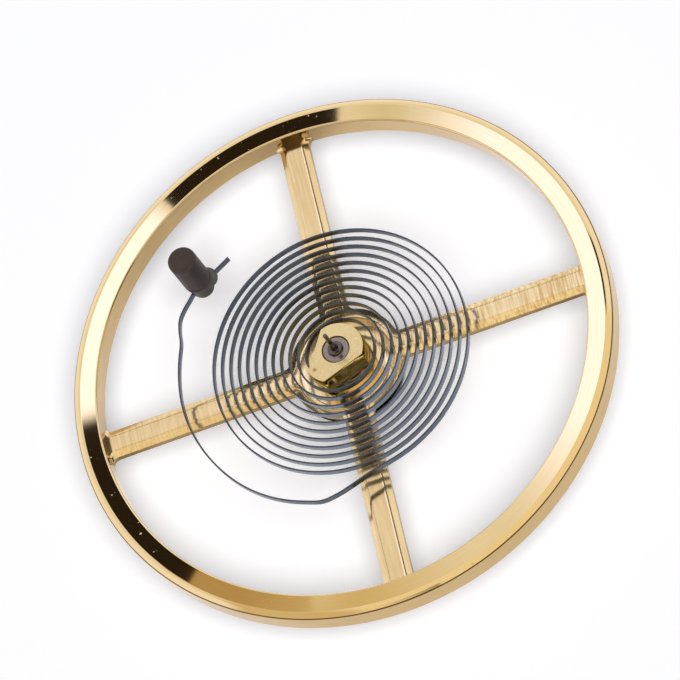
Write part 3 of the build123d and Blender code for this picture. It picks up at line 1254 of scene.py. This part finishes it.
@dataclass
class Rollers:
    """The impulse roller with its jewel and shellac, and the safety roller below it."""

    seat: float = 0.2
    radius: float = 1.05
    foot: float = 0.9
    top: float = 1.06
    edge_break: float = 0.02
    jewel_circle: float = 0.8
    jewel_radius: float = 0.16
    jewel_flat: float = 0.08
    jewel_foot: float = 0.54
    jewel_top: float = 1.09
    jewel_chamfer: float = 0.012
    shellac_radius: float = 0.22
    shellac_top: float = 1.08
    shellac_slope: tuple[Point, ...] = (
        (0.0, 0.0), (0.004, 0.45), (0.013, 0.8), (0.028, 1.0)
    )
    safety_radius: float = 0.42
    safety_foot: float = 0.46
    neck_foot: float = 0.68
    neck_radius: float = 0.3
    hollow: float = 0.16

    def jewel_outline(self, inset: float) -> list[Point]:
        """The jewel's outline, round but for the flat that faces outwards."""
        radius, flat = self.jewel_radius - inset, self.jewel_flat - inset
        lean = degrees(acos(flat / radius))
        return arc(radius, lean, 360 - 2 * lean, JEWEL_STEPS, (self.jewel_circle, 0))

    def impulse_roller(self) -> Object:
        """Makes the impulse roller, with the jewel's hole."""
        former = Former().plate(
            lambda inset: circle(self.radius - inset, DISC_STEPS),
            chamfered(self.foot, self.top, self.edge_break),
            circle(self.seat, BORE_STEPS),
            self.jewel_outline(0),
        )
        return dress(former.piece("roller_disc"), ROLLER_STEEL, "impulse_roller")

    def jewel(self) -> Object:
        """Makes the impulse jewel."""
        levels = chamfered(self.jewel_foot, self.jewel_top, self.jewel_chamfer)
        former = Former().plate(self.jewel_outline, levels)
        return dress(former.piece("jewel_pin"), RUBY, "impulse_jewel")

    def shellac(self) -> Object:
        """Makes the collar of shellac round the jewel."""
        middle, rise = (self.jewel_circle, 0.0), self.shellac_top - self.top
        former = Former().plate(
            lambda away: circle(self.shellac_radius - away, BORE_STEPS, middle),
            [(away, self.top + rise * share) for away, share in self.shellac_slope],
            self.jewel_outline(0),
        )
        piece = former.piece("shellac_collar")
        return dress(piece, SHELLAC, "jewel_shellac", angle=50)

    def safety_roller(self) -> Object:
        """Makes the safety roller, with its passing hollow and the neck above it."""
        middle = (self.safety_radius, 0)
        spread = 2 * degrees(asin(self.hollow / 2 / self.safety_radius))
        rim = arc(self.safety_radius, spread, 360 - 2 * spread, TURN_STEPS)
        meet = Vector(rim[-1]) - Vector(middle)
        start = degrees(atan2(meet.y, meet.x)) % 360
        rim += arc(self.hollow, start, 360 - 2 * start, HOLLOW_STEPS, middle)[1:-1]
        bore = circle(self.seat, BORE_STEPS)
        levels = [(0, self.safety_foot), (0, self.neck_foot)]
        former = Former().plate(lambda inset: rim, levels, bore)
        neck = [
            (self.seat, self.neck_foot),
            (self.neck_radius, self.neck_foot),
            (self.neck_radius, self.foot),
            (self.seat, self.foot),
        ]
        piece = former.turning(neck, TURN_STEPS, closed=True).piece("guard_roller")
        return dress(piece, ROLLER_STEEL, "safety_roller")


# Studio


@dataclass(frozen=True)
class Panel:
    """A sheet in the studio, near where the wheel's flat top mirrors it to the viewer.

    It fills a slice about that mirrored direction, as a slice of a pie does. Distances
    from the direction are the sine of the angle to it, and for what lies behind, 2 less
    that sine.

    Attributes:
        start: The angle that the slice starts at, from the viewer's right, in degrees.
        end: The angle that it ends at.
        colour: The light that comes from it.
        soft: How far its sides fade.
        inner: How far from the mirrored direction it starts.
        outer: How far it reaches.
    """

    start: float
    end: float
    colour: Triple
    soft: float
    inner: float = 0.05
    outer: float = 0.27


DARK = (0.02, 0.014, 0.008)


@dataclass
class Studio:
    """The floor, the light and the surround."""

    viewpoint: "Viewpoint"
    floor_level: float = -0.3
    floor_reach: float = 400.0
    paper: tuple[Triple, Triple] = ((0.89, 0.89, 0.9), (0.9, 0.9, 0.91))
    paper_scale: float = 0.4
    paper_detail: float = 2.0
    daylight: float = 0.15
    lift: float = 0.23
    lift_colour: Triple = (0.9, 0.91, 1.0)
    lamp: float = 2.6
    lamp_angle: float = 25.0
    near_colour: Triple = (0.86, 0.8, 0.67)
    far_colour: Triple = (0.97, 0.92, 0.83)
    far_from: Point = (0.5, 0.7)
    panel_fade: float = 0.015
    panels: tuple[Panel, ...] = (
        Panel(-60.0, 60.4, (0.7, 0.64, 0.44), 0.04),
        Panel(-85.0, 54.0, (1.3, 1.32, 1.6), 0.1),
        Panel(97.0, 150.0, (1.35, 1.36, 1.65), 0.02),
        Panel(190.0, 232.0, (0.49, 0.34, 0.15), 0.01),
        Panel(212.0, 270.0, (0.68, 0.54, 0.28), 0.1),
        Panel(60.4, 98.0, DARK, 0.002, 0.13, 0.24),
        Panel(146.0, 185.0, DARK, 0.012, 0.13, 0.2),
        Panel(165.0, 200.7, DARK, 0.003, 0.13, 0.2),
        Panel(200.0, 242.0, (0.68, 0.54, 0.3), 0.1, 0.27, 0.83),
        Panel(232.0, 340.0, (0.9, 0.77, 0.51), 0.1, 0.3, 0.83),
        Panel(328.0, 352.0, DARK, 0.03, 0.27, 0.5),
        Panel(205.0, 345.0, DARK, 0.05, 0.85, 0.965),
        Panel(252.0, 288.0, DARK, 0.02, 0.83, 0.965),
        Panel(234.0, 256.0, DARK, 0.02, 0.81, 0.965),
    )

    def floor(self) -> None:
        """Lays the pale floor, which is white where no shadow falls."""
        former, reach = Former(), self.floor_reach
        square = [(-reach, -reach), (reach, -reach), (reach, reach), (-reach, reach)]
        former.cap(former.ring((x, y, self.floor_level) for x, y in square))
        floor = former.piece("studio_floor")
        made, graph = blank_material("pale paper")
        tone = graph.speckle(graph.place(), self.paper_scale, self.paper_detail)
        colour = graph.blend(tone, *self.paper)
        paper = graph.result("ShaderNodeBsdfDiffuse", {"Color": colour})
        strength = graph.rays("Camera", "Glossy", "Transmission") * self.lift
        inputs = {"Color": (*self.lift_colour, 1.0), "Strength": strength}
        lift = graph.result("ShaderNodeEmission", inputs)
        both = graph.result("ShaderNodeAddShader", {0: paper, 1: lift})
        graph.node("ShaderNodeOutputMaterial", {"Surface": both})
        floor.data.materials.append(made)

    def mirrored(self, graph: Graph, where: Value) -> Value:
        """The colour that polished metal shows in a direction.

        Args:
            graph: The world's graph.
            where: The direction.

        Returns:
            The colour.
        """
        right, back = self.viewpoint.axes()
        mirror = Vector((-back.x, -back.y, back.z))

        def along(axis: Vector) -> Value:
            """How far the direction goes along an axis."""
            inputs = {0: where, 1: tuple(axis)}
            made = graph.node("ShaderNodeVectorMath", inputs, operation="DOT_PRODUCT")
            return graph.output(made, "Value")

        across, up, ahead = along(right), along(mirror.cross(right)), along(mirror)
        level = graph.length(across, up)
        aside = level + graph.maths("LESS_THAN", ahead, 0.0) * (2 - 2 * level)
        far = aside.rise(*self.far_from)
        colour = graph.blend(far, self.near_colour, self.far_colour)
        fade = self.panel_fade
        for panel in self.panels:
            first, last = radians(panel.start), radians(panel.end)
            after = up * cos(first) - across * sin(first)
            before = across * sin(last) - up * cos(last)
            wedge = after.rise(0.0, panel.soft).least(before.rise(0.0, panel.soft))
            ring = aside.rise(panel.inner - fade, panel.inner + fade)
            ring = ring * (1 - aside.rise(panel.outer - fade, panel.outer + fade))
            colour = graph.blend(wedge * ring, colour, panel.colour)
        return colour

    def surround(self) -> None:
        """Makes the white surround, and the panels that polished metal shows."""
        world = bpy.data.worlds.new("studio")
        world.use_nodes = True
        bpy.context.scene.world = world
        graph = Graph(world.node_tree)
        where = graph.output(graph.node("ShaderNodeTexCoord"), "Generated")

        def light(colour: Value | Sequence[float], strength: float = 1.0) -> Value:
            """An even light from all round."""
            inputs = {"Color": colour, "Strength": strength}
            return graph.result("ShaderNodeBackground", inputs)

        white = (1.0, 1.0, 1.0, 1.0)
        seen = graph.rays("Camera", "Transmission")
        inputs = {0: seen, 1: light(white, self.daylight), 2: light(white)}
        plain = graph.result("ShaderNodeMixShader", inputs)
        sheen = light(self.mirrored(graph, where))
        inputs = {0: graph.rays("Glossy"), 1: plain, 2: sheen}
        full = graph.result("ShaderNodeMixShader", inputs)
        graph.node("ShaderNodeOutputWorld", {"Surface": full})

    def lamps(self) -> None:
        """Hangs one large soft lamp over the viewer, so that shadows fall behind."""
        data = bpy.data.lights.new("soft lamp", "SUN")
        data.energy = self.lamp
        data.angle = radians(self.lamp_angle)
        lamp = placed("soft lamp", data)
        lamp.visible_glossy = False
        back = self.viewpoint.axes()[1]
        lamp.rotation_euler = back.to_track_quat("Z", "Y").to_euler()

    def build(self) -> None:
        """Sets up the floor, the surround and the lamp."""
        self.floor()
        self.surround()
        self.lamps()


@dataclass(frozen=True)
class Viewpoint:
    """Where the camera stands: a long lens, looking down with its head tilted.

    The azimuth is from -Y towards +X, and the elevation is above the wheel's plane. The
    reach is the lens's length, and the picture its width, in pixels. The offset is how
    many pixels the point aimed at is right of the picture's middle and below it. The
    clip is the nearest and the furthest that it sees, in metres.
    """

    azimuth: float = 21.75
    elevation: float = 59.3
    roll: float = 38.5
    distance: float = 185.0
    reach: float = 10519.0
    picture: float = 680.0
    aim: Triple = (0.0, 0.0, 1.65)
    offset: Point = (0.1, 14.9)
    clip: Point = (0.01, 2.0)

    def axes(self) -> tuple[Vector, Vector]:
        """The level direction to the viewer's right and the direction to the viewer."""
        a, e = radians(self.azimuth), radians(self.elevation)
        flat = cos(e)
        back = Vector((sin(a) * flat, -cos(a) * flat, sin(e)))
        return Vector((cos(a), sin(a), 0)), back

    def build(self) -> None:
        """Makes the camera."""
        level, back = self.axes()
        steep = back.cross(level)
        roll = radians(self.roll)
        right = level * cos(roll) - steep * sin(roll)
        up = level * sin(roll) + steep * cos(roll)
        data = bpy.data.cameras.new("camera")
        data.lens = data.sensor_width * self.reach / self.picture
        data.clip_start, data.clip_end = self.clip
        aside, below = (pixels * self.distance / self.reach for pixels in self.offset)
        place = Vector(self.aim) + back * self.distance - right * aside + up * below
        turn = Matrix((right, up, back)).transposed().to_4x4()
        camera = placed("camera", data)
        camera.matrix_world = Matrix.Translation(place * MM) @ turn
        bpy.context.scene.camera = camera


def main() -> None:
    """Clears the scene, builds the balance piece by piece and sets up the studio."""
    logging.basicConfig(level=logging.INFO, format="%(message)s")
    for thing in list(bpy.data.objects):
        bpy.data.objects.remove(thing)
    bpy.context.scene.view_settings.view_transform = "Standard"
    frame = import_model()
    log.info("frame with bodies %s", ", ".join(sorted(frame["bodies"])))
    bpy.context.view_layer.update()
    wheel, collet, rollers = Wheel(), Collet(), Rollers()
    spring = Hairspring(collet)
    stud = Stud(spring)
    makers = (
        wheel.rim, wheel.spider, Staff().axle, collet.ring, collet.pin, spring.strip,
        stud.post, stud.bead, rollers.impulse_roller, rollers.jewel, rollers.shellac,
        rollers.safety_roller,
    )
    for make in makers:
        piece = make()
        log.info("%s, %d faces", piece.name, len(piece.data.polygons))
    viewpoint = Viewpoint()
    Studio(viewpoint).build()
    viewpoint.build()
    bpy.context.view_layer.update()


if __name__ == "__main__":
    main()
